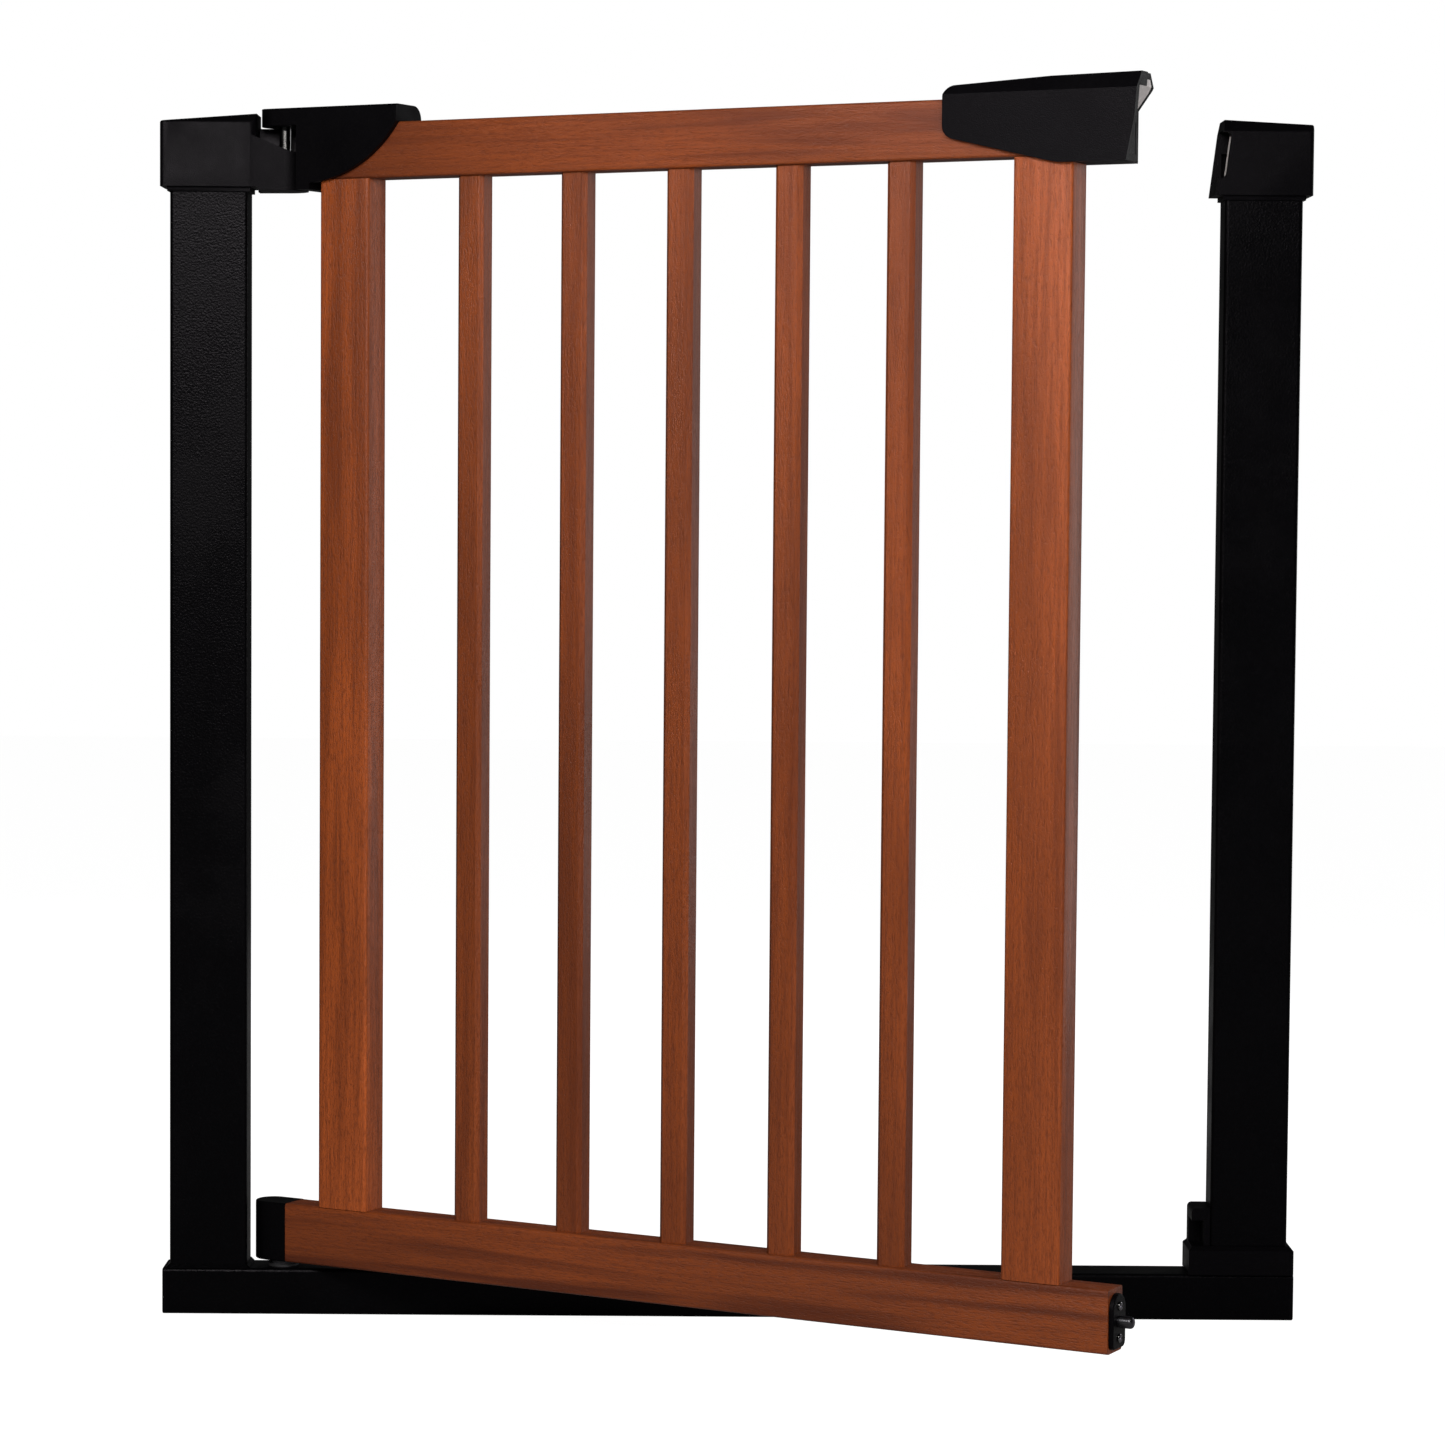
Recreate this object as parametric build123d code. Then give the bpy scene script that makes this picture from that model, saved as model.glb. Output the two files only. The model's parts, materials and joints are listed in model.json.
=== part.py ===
"""Pressure-fit baby gate: a steel U-frame with a wooden door that swings and lifts.

Frame axes: X runs along the doorway from the hinge side to the latch side, -Y is the
front and Z is up. The origin is under the middle of the base bar, on the floor.
Door pieces are drawn shut, with the hinge axis as their own Z axis, and are then
turned to the ajar rest position. All sizes are in millimetres.
"""
import os

from build123d import *

# ---------------------------------------------------------------- driving dimensions
# base bar: rectangular tube with a plastic plug in each end
BASE_LENGTH = 734.0
BASE_DEPTH = 32.0
BASE_HEIGHT = 30.0
TUBE_WALL = 1.6
TUBE_RADIUS = 2.5
PLUG_FLANGE = 2.5
PLUG_LENGTH = 22.0

# posts
FRAME_WIDTH = 725.0
POST_WIDTH = 50.0
POST_DEPTH = 27.0
POST_TOP = 755.0
HALF_POST = POST_DEPTH / 2
POST_CENTRE_X = (FRAME_WIDTH - POST_WIDTH) / 2
POST_OUTER_X = FRAME_WIDTH / 2
POST_INNER_X = POST_OUTER_X - POST_WIDTH
WELD_REACH = 2.2

# post caps
CAP_OUTER_X = 368.5
CAP_DEPTH = 36.0
CAP_BOTTOM = 727.0
CAP_FRONT_TOP = 767.5
CROWN_HALF_DEPTH = 12.0
CROWN_RISE = 8.0
CAP_EDGE_ROUNDING = 1.5
SKIRT_DROP = 3.0
SKIRT_WALL = 1.5
HINGE_CAP_TOP_Z = (768.5, 773.5)
HINGE_CAP_INNER_X = -307.0
LATCH_CAP_TOP_Z = (775.0, 772.0)
LATCH_CAP_INNER_LOW_X = 305.5
LATCH_CAP_INNER_TOP_X = 311.5
CAP_SCREW_Z = 733.0

# arm of the hinge cap
ARM_TOP_AT_CAP = 759.0
ARM_TOP_AT_PIN = 750.0
ARM_BOTTOM = 725.0
KNUCKLE_RADIUS = 15.0
ARM_ROOT_X = -312.0
ARM_WEB_Y = 6.5
ARM_WEB_TOP = 765.5

# pocket for the bolt in the latch cap
STRIKE_Z = (736.0, 768.5)
STRIKE_HALF_DEPTH = 10.0
STRIKE_DEPTH_X = 330.0
STRIKE_WALL = 1.5
STRIKE_RECESS = 8.5
NOTCH_DEPTH = 5.0
NOTCH_Z = (737.5, 767.0)
LIP_REACH = 16.5
LIP_WALL = 1.2

# spindle threads: M10, drawn at the nominal diameter
SPINDLE_DIAMETER = 10.0
SPINDLE_Z_TOP = 748.0
SPINDLE_Z_BASE = 15.0
INSERT_RADIUS = 7.5
CAP_INSERT_LENGTH = 17.5

# hinge axis and pins
HINGE_X = -290.0
AJAR_ANGLE = 28.2
LIFT_TRAVEL = 8.0
PIN_RADIUS = 4.0
RUNNING_GAP = 0.05
CLEAR = 0.3
TOP_PIN_Z = (733.0, 774.9)
PIVOT_PIN_Z = (8.5, 52.0)
BUSH_RADIUS = 7.0
BUSH_FLANGE_RADIUS = 10.0
BUSH_BOTTOM = 8.0
WASHER_RADIUS = 8.5
WASHER_Z = (31.5, 33.7)

# wooden door
DOOR_DEPTH = 22.0
HALF_DOOR = DOOR_DEPTH / 2
RAIL_TOP = 766.0
RAIL_BOTTOM = 731.0
TOP_RAIL = (28.0, 545.0)
LOW_RAIL_TOP = 72.2
LOW_RAIL_BOTTOM = 34.0
LOW_RAIL = (8.6, 583.0)
RAIL_ROUNDING = 1.8
HINGE_STILE = (33.6, 70.0)
LATCH_STILE = (514.0, 551.6)
STILE_ROUNDING = 2.0
BAR_COUNT = 5
BAR_START = 133.4
BAR_PITCH = 74.3
BAR_WIDTH = 18.4
BAR_DEPTH = 15.2
BAR_BEVEL = 2.6
DOWEL_DIAMETER = 8.0
DOWEL_LENGTH = 30.0
STILE_DOWELS = (43.8, 59.8, 520.5, 531.3)

# two-part casings at the top corners
SHELL_DEPTH = 30.0
HALF_SHELL = SHELL_DEPTH / 2
HOUSING_START = 18.0
HOUSING_END = 93.0
HOUSING_TOP = 777.0
HOUSING_ROUNDING = 2.0
HOUSING_REAR_ROUNDING = 8.5
HOUSING_FOOT = 729.0
JAW_BOTTOM = 766.0
HOUSING_SCREWS = [(44.0, 756.0), (70.0, 756.0)]
HANDLE_LEFT = 470.0
HANDLE_BOTTOM = 727.0
HANDLE_FRONT_TOP = 768.5
HANDLE_TOP = 778.0
HANDLE_CROWN = 9.0
HANDLE_SCREWS = [(490.0, 757.0), (524.0, 757.0)]
FRONT_END = [(593.0, HANDLE_TOP), (591.0, 752.0), (586.0, HANDLE_BOTTOM)]
REAR_END = [(591.0, HANDLE_TOP), (591.0, 770.0), (581.5, 757.0), (581.5, HANDLE_BOTTOM)]

# latch works
BOLT_TRAVEL = 20.0
BOLT_Z = (742.0, 753.0)
BOLT_CENTRE_Z = (BOLT_Z[0] + BOLT_Z[1]) / 2
BOLT_HALF_DEPTH = 5.0
BOLT = (549.0, 581.0)
STEM = (551.0, 557.0)
STEM_HALF_DEPTH = 2.5
SLIDER = (546.0, 562.0)
SLIDER_HALF_DEPTH = 6.0
BOLT_PLATE = (578.3, 581.3)
BOLT_PLATE_TOP = 755.5
LATCH_FACE_START = 579.0
LATCH_FACE_Z = (756.5, 774.0)
LATCH_FACE_HALF_DEPTH = 10.7
SPRING_RADIUS = 3.6
SPRING_WIRE = 0.6
SPRING_TURNS = 5
SPRING = (536.6, 550.4)
SPRING_BORE = 4.8

# fittings of the bottom rail
END_CAP_NOSE = -7.9
END_CAP_FACE = -16.8
SPIGOT_LENGTH = 10.0
END_SCREW_Z = 60.0
PLATE_THICKNESS = 3.0
PLATE_Z = (36.5, 69.0)
PLATE_HALF_DEPTH = 9.75
PLATE_SCREW_Z = (42.6, 61.6)
STUB_Z = 52.4
STUB_RADIUS = 3.6
STUB_TIP = 595.0

# catch round the latch post's foot
COLLAR_X = (298.5, 366.5)
COLLAR_HALF_DEPTH = 17.5
COLLAR_TOP = 48.4
TAB_X = 300.5
TAB_TOP = 73.0
CATCH_NOTCH_TOP = STUB_Z + STUB_RADIUS + LIFT_TRAVEL + 1.0

# screws
SCREW_RADIUS = 2.0
SCREW_HEAD_RADIUS = 4.0
SCREW_SINK_RADIUS = 4.2
SCREW_SINK = 2.2
SMALL_SCREW_RADIUS = 1.5


# ---------------------------------------------------------------- small helpers
def block(x_range, y_range, z_range):
    """A box given by its lowest and highest x, y and z."""
    sizes = [high - low for low, high in (x_range, y_range, z_range)]
    centre = [(high + low) / 2 for low, high in (x_range, y_range, z_range)]
    return Pos(*centre) * Box(*sizes)


def rod_x(radius, x_range, y, z):
    """A round rod along X."""
    turn = Location(((x_range[0] + x_range[1]) / 2, y, z), (0, 90, 0))
    return turn * Cylinder(radius, x_range[1] - x_range[0])


def rod_y(radius, x, y_range, z):
    """A round rod along Y."""
    turn = Location((x, (y_range[0] + y_range[1]) / 2, z), (90, 0, 0))
    return turn * Cylinder(radius, y_range[1] - y_range[0])


def rod_z(radius, x, y, z_range):
    """A round rod along Z."""
    return Pos(x, y, (z_range[0] + z_range[1]) / 2) * Cylinder(radius, z_range[1] - z_range[0])


def side_plate(points, depth):
    """A closed outline of (x, z) points, made solid to both sides of Y = 0."""
    outline = Polyline(*[(x, 0, z) for x, z in points], close=True)
    return extrude(make_face(outline), depth / 2, both=True, dir=(0, 1, 0))


def end_view(points, x_range):
    """A closed outline of (y, z) points, made solid along X."""
    outline = Polyline(*[(x_range[0], y, z) for y, z in points], close=True)
    return extrude(make_face(outline), x_range[1] - x_range[0], dir=(1, 0, 0))


def edges_near(shape, axis, x, reach=3.0):
    """The edges of a shape that run along an axis near a given x."""
    return [edge for edge in shape.edges().filter_by(axis) if abs(edge.center().X - x) < reach]


def on_door(shape):
    """Move a piece from the shut door's own axes to the ajar rest position."""
    return Location((HINGE_X, 0, 0), (0, 0, -AJAR_ANGLE)) * shape


def save(node, shape):
    export_step(shape, os.path.join("parts", node + ".step"))


def save_door(node, shape):
    save(node, on_door(shape))


def group(solids):
    return Compound(children=list(solids))


# ---------------------------------------------------------------- steel frame
def base_bar():
    """Rectangular tube on the floor, with a hole in its top wall for the pivot bush."""
    half_length = BASE_LENGTH / 2 - PLUG_FLANGE
    half_depth = BASE_DEPTH / 2
    outside = block((-half_length, half_length), (-half_depth, half_depth), (0, BASE_HEIGHT))
    outside = fillet(outside.edges().filter_by(Axis.X), TUBE_RADIUS)
    inside = block(
        (-half_length - 1, half_length + 1),
        (-half_depth + TUBE_WALL, half_depth - TUBE_WALL),
        (TUBE_WALL, BASE_HEIGHT - TUBE_WALL),
    )
    return outside - inside - rod_z(BUSH_RADIUS, HINGE_X, 0, (BASE_HEIGHT / 2, BASE_HEIGHT + 1))


def base_end_plug(side):
    """Plastic plug in one end of the base bar, round a spindle insert."""
    tip = BASE_LENGTH / 2
    half_depth = BASE_DEPTH / 2
    flange = block((tip - PLUG_FLANGE, tip), (-half_depth, half_depth), (0, BASE_HEIGHT))
    flange = fillet(flange.edges().filter_by(Axis.X), TUBE_RADIUS)
    flange = fillet(flange.faces().sort_by(Axis.X)[-1].edges(), 1.0)
    spigot = block(
        (tip - PLUG_LENGTH, tip - PLUG_FLANGE),
        (-half_depth + TUBE_WALL, half_depth - TUBE_WALL),
        (TUBE_WALL, BASE_HEIGHT - TUBE_WALL),
    )
    plug = flange + spigot
    plug -= rod_x(INSERT_RADIUS, (tip - PLUG_LENGTH - 1, tip + 1), 0, SPINDLE_Z_BASE)
    return plug if side > 0 else mirror(plug, Plane.YZ)


def spindle_insert(x_range, z):
    """Threaded metal sleeve that a pressure spindle screws into."""
    sleeve = rod_x(INSERT_RADIUS, x_range, 0, z)
    return sleeve - rod_x(SPINDLE_DIAMETER / 2, (x_range[0] - 1, x_range[1] + 1), 0, z)


def base_insert(side):
    tip = BASE_LENGTH / 2
    sleeve = spindle_insert((tip - PLUG_LENGTH, tip - 0.5), SPINDLE_Z_BASE)
    return sleeve if side > 0 else mirror(sleeve, Plane.YZ)


def cap_insert(side):
    tip = CAP_OUTER_X - 0.5
    sleeve = spindle_insert((tip - CAP_INSERT_LENGTH, tip), SPINDLE_Z_TOP)
    return sleeve if side > 0 else mirror(sleeve, Plane.YZ)


def post(side):
    """Upright tube; the sleeve for a spindle passes through its outer wall."""
    outside = block((POST_INNER_X, POST_OUTER_X), (-HALF_POST, HALF_POST), (BASE_HEIGHT, POST_TOP))
    outside = fillet(outside.edges().filter_by(Axis.Z), TUBE_RADIUS)
    inside = block(
        (POST_INNER_X + TUBE_WALL, POST_OUTER_X - TUBE_WALL),
        (-HALF_POST + TUBE_WALL, HALF_POST - TUBE_WALL),
        (BASE_HEIGHT - 1, POST_TOP + 1),
    )
    tube = outside - inside
    outer_wall = (POST_OUTER_X - TUBE_WALL - 1, POST_OUTER_X + 1)
    tube -= rod_x(INSERT_RADIUS, outer_wall, 0, SPINDLE_Z_TOP)
    tube -= rod_y(SCREW_RADIUS, POST_CENTRE_X, (0, HALF_POST + 1), CAP_SCREW_Z)
    if side < 0:
        return mirror(tube, Plane.YZ)
    pocket_cut = block(
        (POST_INNER_X - 1, LATCH_CAP_INNER_TOP_X + NOTCH_DEPTH + LIP_WALL + 1),
        (-HALF_POST - 1, HALF_POST + 1),
        (STRIKE_Z[0] - CLEAR, POST_TOP + 1),
    )
    return tube - pocket_cut


def hinge_post_weld():
    """Bead of weld round the hinge post's foot."""
    bead = block(
        (POST_INNER_X - WELD_REACH, POST_OUTER_X + WELD_REACH),
        (-HALF_POST - WELD_REACH, HALF_POST + WELD_REACH),
        (BASE_HEIGHT, BASE_HEIGHT + WELD_REACH),
    )
    bead = fillet(bead.edges().filter_by(Axis.Z), TUBE_RADIUS)
    bead = chamfer(bead.faces().sort_by(Axis.Z)[-1].edges(), WELD_REACH - 0.3)
    post_room = block((POST_INNER_X, POST_OUTER_X), (-HALF_POST, HALF_POST), (0, BASE_HEIGHT * 2))
    post_room = fillet(post_room.edges().filter_by(Axis.Z), TUBE_RADIUS)
    return mirror(bead - post_room, Plane.YZ)


# ---------------------------------------------------------------- post caps
def crowned_end_view(x_range, half_depth, bottom, front_top, crown_half_depth, crown_rise):
    """Upright front and back, then a sloped band up to a narrower flat top."""
    return end_view(
        [
            (-half_depth, bottom),
            (-half_depth, front_top),
            (-crown_half_depth, front_top + crown_rise),
            (crown_half_depth, front_top + crown_rise),
            (half_depth, front_top),
            (half_depth, bottom),
        ],
        x_range,
    )


def cap_crown(x_range):
    """The end view that both post caps share."""
    return crowned_end_view(
        x_range, CAP_DEPTH / 2, CAP_BOTTOM, CAP_FRONT_TOP, CROWN_HALF_DEPTH, CROWN_RISE
    )


def soften_end(cap, x):
    """Round the top edges of a cap at one end."""
    rim = [
        edge
        for edge in cap.edges()
        if abs(edge.bounding_box().min.X - x) < 0.01
        and abs(edge.bounding_box().max.X - x) < 0.01
        and edge.center().Z > CAP_FRONT_TOP
    ]
    return fillet(rim, CAP_EDGE_ROUNDING)


def post_socket():
    """The room that a post and its spindle sleeve take inside a cap (latch side)."""
    room = block((POST_INNER_X, POST_OUTER_X), (-HALF_POST, HALF_POST), (BASE_HEIGHT, POST_TOP))
    sleeve_start = CAP_OUTER_X - 0.5 - CAP_INSERT_LENGTH
    return room + rod_x(INSERT_RADIUS, (sleeve_start, CAP_OUTER_X + 1), 0, SPINDLE_Z_TOP)


def screw_bore(x):
    """Bore and sink for the screw that holds a cap to its post from behind."""
    bore = rod_y(SCREW_RADIUS, x, (HALF_POST - 1, CAP_DEPTH / 2 + 1), CAP_SCREW_Z)
    sink = (CAP_DEPTH / 2 - SCREW_SINK, CAP_DEPTH / 2 + 1)
    return bore + rod_y(SCREW_SINK_RADIUS, x, sink, CAP_SCREW_Z)


def cap_skirt():
    """Thin collar under a cap, close round the post (latch side)."""
    return block(
        (POST_INNER_X - SKIRT_WALL, POST_OUTER_X + SKIRT_WALL),
        (-HALF_POST - SKIRT_WALL, HALF_POST + SKIRT_WALL),
        (CAP_BOTTOM - SKIRT_DROP, CAP_BOTTOM + 1),
    )


def hinge_arm():
    """Arm of the hinge cap, round about the top hinge pin, with a raised web behind the pin."""
    tip = HINGE_X + KNUCKLE_RADIUS + 1
    root = ARM_ROOT_X - 3
    side = side_plate(
        [
            (root, ARM_BOTTOM + 2),
            (root, ARM_TOP_AT_CAP + 3),
            (HINGE_X + 4, ARM_TOP_AT_PIN),
            (tip, ARM_TOP_AT_PIN - 1),
            (tip, ARM_BOTTOM),
            (HINGE_CAP_INNER_X + 1, ARM_BOTTOM),
            (HINGE_CAP_INNER_X + 1, ARM_BOTTOM + 2),
        ],
        CAP_DEPTH,
    )
    web = block((HINGE_CAP_INNER_X - 1, tip), (ARM_WEB_Y, CAP_DEPTH / 2), (ARM_BOTTOM, ARM_WEB_TOP))
    taper = Polyline(
        (root, -CAP_DEPTH / 2),
        (ARM_ROOT_X, -CAP_DEPTH / 2),
        (HINGE_X, -KNUCKLE_RADIUS),
        (HINGE_X, KNUCKLE_RADIUS),
        (ARM_ROOT_X, CAP_DEPTH / 2),
        (root, CAP_DEPTH / 2),
        close=True,
    )
    plan = rod_z(KNUCKLE_RADIUS, HINGE_X, 0, (ARM_BOTTOM - 1, HOUSING_TOP))
    plan += Pos(0, 0, ARM_BOTTOM - 1) * extrude(make_face(taper), HOUSING_TOP - ARM_BOTTOM + 1)
    return (side + web) & plan


def hinge_cap():
    """Cap on the hinge post and the arm that carries the top hinge pin: (cap, arm)."""
    side = side_plate(
        [
            (-CAP_OUTER_X, CAP_BOTTOM),
            (-CAP_OUTER_X, HINGE_CAP_TOP_Z[0]),
            (HINGE_CAP_INNER_X, HINGE_CAP_TOP_Z[1]),
            (HINGE_CAP_INNER_X, CAP_BOTTOM),
        ],
        CAP_DEPTH,
    )
    body = side & cap_crown((-CAP_OUTER_X - 1, HINGE_CAP_INNER_X + 1))
    body = fillet(edges_near(body, Axis.Z, HINGE_CAP_INNER_X), 5.0)
    body = fillet(edges_near(body, Axis.Z, -CAP_OUTER_X), 3.0)
    body = soften_end(body, -CAP_OUTER_X)
    cap = body + hinge_arm() + mirror(cap_skirt(), Plane.YZ)
    cap -= mirror(post_socket(), Plane.YZ)
    cap -= rod_z(PIN_RADIUS + RUNNING_GAP, HINGE_X, 0, (TOP_PIN_Z[0] - CLEAR, HOUSING_TOP))
    cap -= screw_bore(-POST_CENTRE_X)
    return cut_at_x(cap, HINGE_CAP_INNER_X)


def cut_at_x(shape, x):
    """The parts of a shape on the low and the high side of a plane across x."""
    reach = 2 * CAP_OUTER_X
    low_side = block((x - reach, x), (-CAP_DEPTH, CAP_DEPTH), (0, 2 * CAP_BOTTOM))
    return shape & low_side, shape - low_side


def inner_end_x(z):
    """Where the leaning inner end of the latch cap is at a height."""
    lean = (LATCH_CAP_INNER_TOP_X - LATCH_CAP_INNER_LOW_X) / (LATCH_CAP_TOP_Z[0] - CAP_BOTTOM)
    return LATCH_CAP_INNER_LOW_X + (z - CAP_BOTTOM) * lean


def leaning_slab(depth_range, y_range, z_range):
    """A slab parallel to the leaning inner end, between two depths behind it."""
    low, high = z_range
    outline = [
        (inner_end_x(low) + depth_range[0], low),
        (inner_end_x(high) + depth_range[0], high),
        (inner_end_x(high) + depth_range[1], high),
        (inner_end_x(low) + depth_range[1], low),
    ]
    middle = (y_range[0] + y_range[1]) / 2
    return Pos(0, middle, 0) * side_plate(outline, y_range[1] - y_range[0])


def strike_room():
    """The pocket that the strike liner fills."""
    return block(
        (LATCH_CAP_INNER_LOW_X - 5, STRIKE_DEPTH_X),
        (-STRIKE_HALF_DEPTH, STRIKE_HALF_DEPTH),
        STRIKE_Z,
    )


def lip_room():
    """The seat of the liner's lip behind the front notch."""
    return leaning_slab(
        (NOTCH_DEPTH, NOTCH_DEPTH + LIP_WALL), (-LIP_REACH, -STRIKE_HALF_DEPTH), NOTCH_Z
    )


def latch_cap():
    """Cap on the latch post: (inner end with the tall pocket for the bolt, outer part)."""
    side = side_plate(
        [
            (LATCH_CAP_INNER_LOW_X, CAP_BOTTOM),
            (LATCH_CAP_INNER_TOP_X, LATCH_CAP_TOP_Z[0]),
            (CAP_OUTER_X, LATCH_CAP_TOP_Z[1]),
            (CAP_OUTER_X, CAP_BOTTOM),
        ],
        CAP_DEPTH,
    )
    body = side & cap_crown((LATCH_CAP_INNER_LOW_X - 1, CAP_OUTER_X + 1))
    body = fillet(edges_near(body, Axis.Z, CAP_OUTER_X), 3.0)
    body = soften_end(body, CAP_OUTER_X)
    notch = leaning_slab((-6, NOTCH_DEPTH), (-CAP_DEPTH / 2 - 1, -STRIKE_HALF_DEPTH + 1), NOTCH_Z)
    notch = fillet(edges_near(notch, Axis.Y, inner_end_x(NOTCH_Z[0]) + NOTCH_DEPTH, 6.0), 2.5)
    cap = body + cap_skirt() - post_socket() - strike_room() - notch - lip_room()
    cap -= screw_bore(POST_CENTRE_X)
    return cut_at_x(cap, STRIKE_DEPTH_X)


def strike_liner():
    """Open box that lines the pocket, with a lip that shows behind the front notch."""
    inside = block(
        (LATCH_CAP_INNER_LOW_X - 6, STRIKE_DEPTH_X - STRIKE_WALL),
        (-STRIKE_HALF_DEPTH + STRIKE_WALL, STRIKE_HALF_DEPTH - STRIKE_WALL),
        (STRIKE_Z[0] + STRIKE_WALL, STRIKE_Z[1] - STRIKE_WALL),
    )
    box = strike_room() - inside
    box &= leaning_slab((STRIKE_RECESS, 40), (-CAP_DEPTH, CAP_DEPTH), (700, 800))
    cheek = leaning_slab(
        (NOTCH_DEPTH, STRIKE_RECESS + 1),
        (-STRIKE_HALF_DEPTH, -STRIKE_HALF_DEPTH + STRIKE_WALL),
        NOTCH_Z,
    )
    return box + cheek + lip_room()


def rear_screw(x, z, face_y, length):
    """Pan-head screw driven forwards from the face at y = face_y, with a cross slot."""
    head = rod_y(SCREW_HEAD_RADIUS, x, (face_y - SCREW_SINK, face_y), z)
    head = fillet(head.faces().sort_by(Axis.Y)[-1].edges(), 0.8)
    shank = rod_y(SCREW_RADIUS, x, (face_y - length, face_y - 2.0), z)
    slot_length = SCREW_HEAD_RADIUS * 1.3
    cross = Box(0.9, 1.0, slot_length) + Box(slot_length, 1.0, 0.9)
    return head + shank - Pos(x, face_y, z) * cross


def lower_catch():
    """Collar round the latch post's foot; its notched tab stops the stub pin."""
    collar = block(COLLAR_X, (-COLLAR_HALF_DEPTH, COLLAR_HALF_DEPTH), (BASE_HEIGHT, COLLAR_TOP))
    collar = chamfer(collar.faces().sort_by(Axis.Z)[-1].edges(), 2.5)
    tab = block((TAB_X, POST_INNER_X + 1), (-13.0, 13.0), (BASE_HEIGHT + 2, TAB_TOP))
    top_edges = [edge for edge in edges_near(tab, Axis.Y, TAB_X, 1) if edge.center().Z > COLLAR_TOP]
    tab = fillet(top_edges, 3.0)
    catch = collar + tab
    catch -= block((POST_INNER_X, POST_OUTER_X), (-HALF_POST, HALF_POST), (0, 100))
    notch_x = (COLLAR_X[0] - 3, POST_INNER_X - 4)
    notch = block(notch_x, (-COLLAR_HALF_DEPTH - 2, STUB_RADIUS + 0.5), (COLLAR_TOP, CATCH_NOTCH_TOP))
    return catch - notch


# ---------------------------------------------------------------- hinge pins
def pivot_bush():
    """Flanged bush in the base bar that the lower pivot pin turns in."""
    sleeve = rod_z(BUSH_RADIUS, HINGE_X, 0, (BUSH_BOTTOM - 2, BASE_HEIGHT))
    flange = rod_z(BUSH_FLANGE_RADIUS, HINGE_X, 0, (BASE_HEIGHT, WASHER_Z[0]))
    bore = rod_z(PIN_RADIUS + RUNNING_GAP, HINGE_X, 0, (BUSH_BOTTOM, WASHER_Z[0] + 1))
    return sleeve + flange - bore


def hinge_pin(z_range):
    """Steel pin with small chamfers at both ends."""
    pin = rod_z(PIN_RADIUS, HINGE_X, 0, z_range)
    return chamfer(pin.edges().filter_by(GeomType.CIRCLE), 0.6)


def thrust_washer():
    """Nylon washer that the door's lower end cap stands on."""
    ring = rod_z(WASHER_RADIUS, HINGE_X, 0, WASHER_Z)
    return ring - rod_z(PIN_RADIUS + RUNNING_GAP, HINGE_X, 0, (WASHER_Z[0] - 1, WASHER_Z[1] + 1))


# ---------------------------------------------------------------- wooden door
def dowel(x, z_centre):
    half = DOWEL_LENGTH / 2
    peg = rod_z(DOWEL_DIAMETER / 2, x, 0, (z_centre - half, z_centre + half))
    return chamfer(peg.edges().filter_by(GeomType.CIRCLE), 0.8)


def dowel_bore(x, z_centre):
    half = DOWEL_LENGTH / 2 + 0.5
    return rod_z(DOWEL_DIAMETER / 2 + RUNNING_GAP, x, 0, (z_centre - half, z_centre + half))


def bar_starts():
    return [BAR_START + number * BAR_PITCH for number in range(BAR_COUNT)]


def bar_dowel_places():
    """Centre of each dowel at a bar's two ends: (x, z)."""
    return [
        (start + BAR_WIDTH / 2, z)
        for start in bar_starts()
        for z in (LOW_RAIL_TOP, RAIL_BOTTOM)
    ]


def stile_dowel_places():
    """Two dowels at each end of each stile: (x, z)."""
    return [(x, z) for x in STILE_DOWELS for z in (LOW_RAIL_TOP, RAIL_BOTTOM)]


def drilled(wood):
    """Take the dowel bores out of a wooden piece."""
    limits = wood.bounding_box()
    for x, z in bar_dowel_places() + stile_dowel_places():
        if limits.min.X < x < limits.max.X:
            wood -= dowel_bore(x, z)
    return wood


def rail(x_range, z_range):
    """Horizontal wooden rail with softly rounded long edges."""
    plank = block(x_range, (-HALF_DOOR, HALF_DOOR), z_range)
    plank = fillet(plank.edges().filter_by(Axis.X), RAIL_ROUNDING)
    return drilled(plank)


def top_rail():
    wood = rail(TOP_RAIL, (RAIL_BOTTOM, RAIL_TOP))
    for x, z in HOUSING_SCREWS + HANDLE_SCREWS:
        wood -= rod_y(SCREW_RADIUS, x, (HALF_SHELL - 22, DOOR_DEPTH), z)
    return wood - rod_x(SPRING_BORE, (SPRING[0] - 0.6, TOP_RAIL[1] + 1), 0, BOLT_CENTRE_Z)


def bottom_rail():
    start, end = LOW_RAIL
    wood = rail(LOW_RAIL, (LOW_RAIL_BOTTOM, LOW_RAIL_TOP))
    wood -= block((start - 1, start + SPIGOT_LENGTH), (-6, 6), (42, 64))
    wood -= rod_x(STUB_RADIUS, (end - 18, end + 1), 0, STUB_Z)
    for z in PLATE_SCREW_Z:
        wood -= rod_x(SMALL_SCREW_RADIUS, (end - 13, end + 1), 0, z)
    return wood


def stile(x_range):
    """Wide upright of the door."""
    board = block(x_range, (-HALF_DOOR, HALF_DOOR), (LOW_RAIL_TOP, RAIL_BOTTOM))
    board = fillet(board.edges().filter_by(Axis.Z), STILE_ROUNDING)
    return drilled(board)


def bar(start):
    """Slim upright with bevelled edges."""
    half = BAR_DEPTH / 2
    stick = block((start, start + BAR_WIDTH), (-half, half), (LOW_RAIL_TOP, RAIL_BOTTOM))
    stick = chamfer(stick.edges().filter_by(Axis.Z), BAR_BEVEL)
    return drilled(stick)


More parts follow.
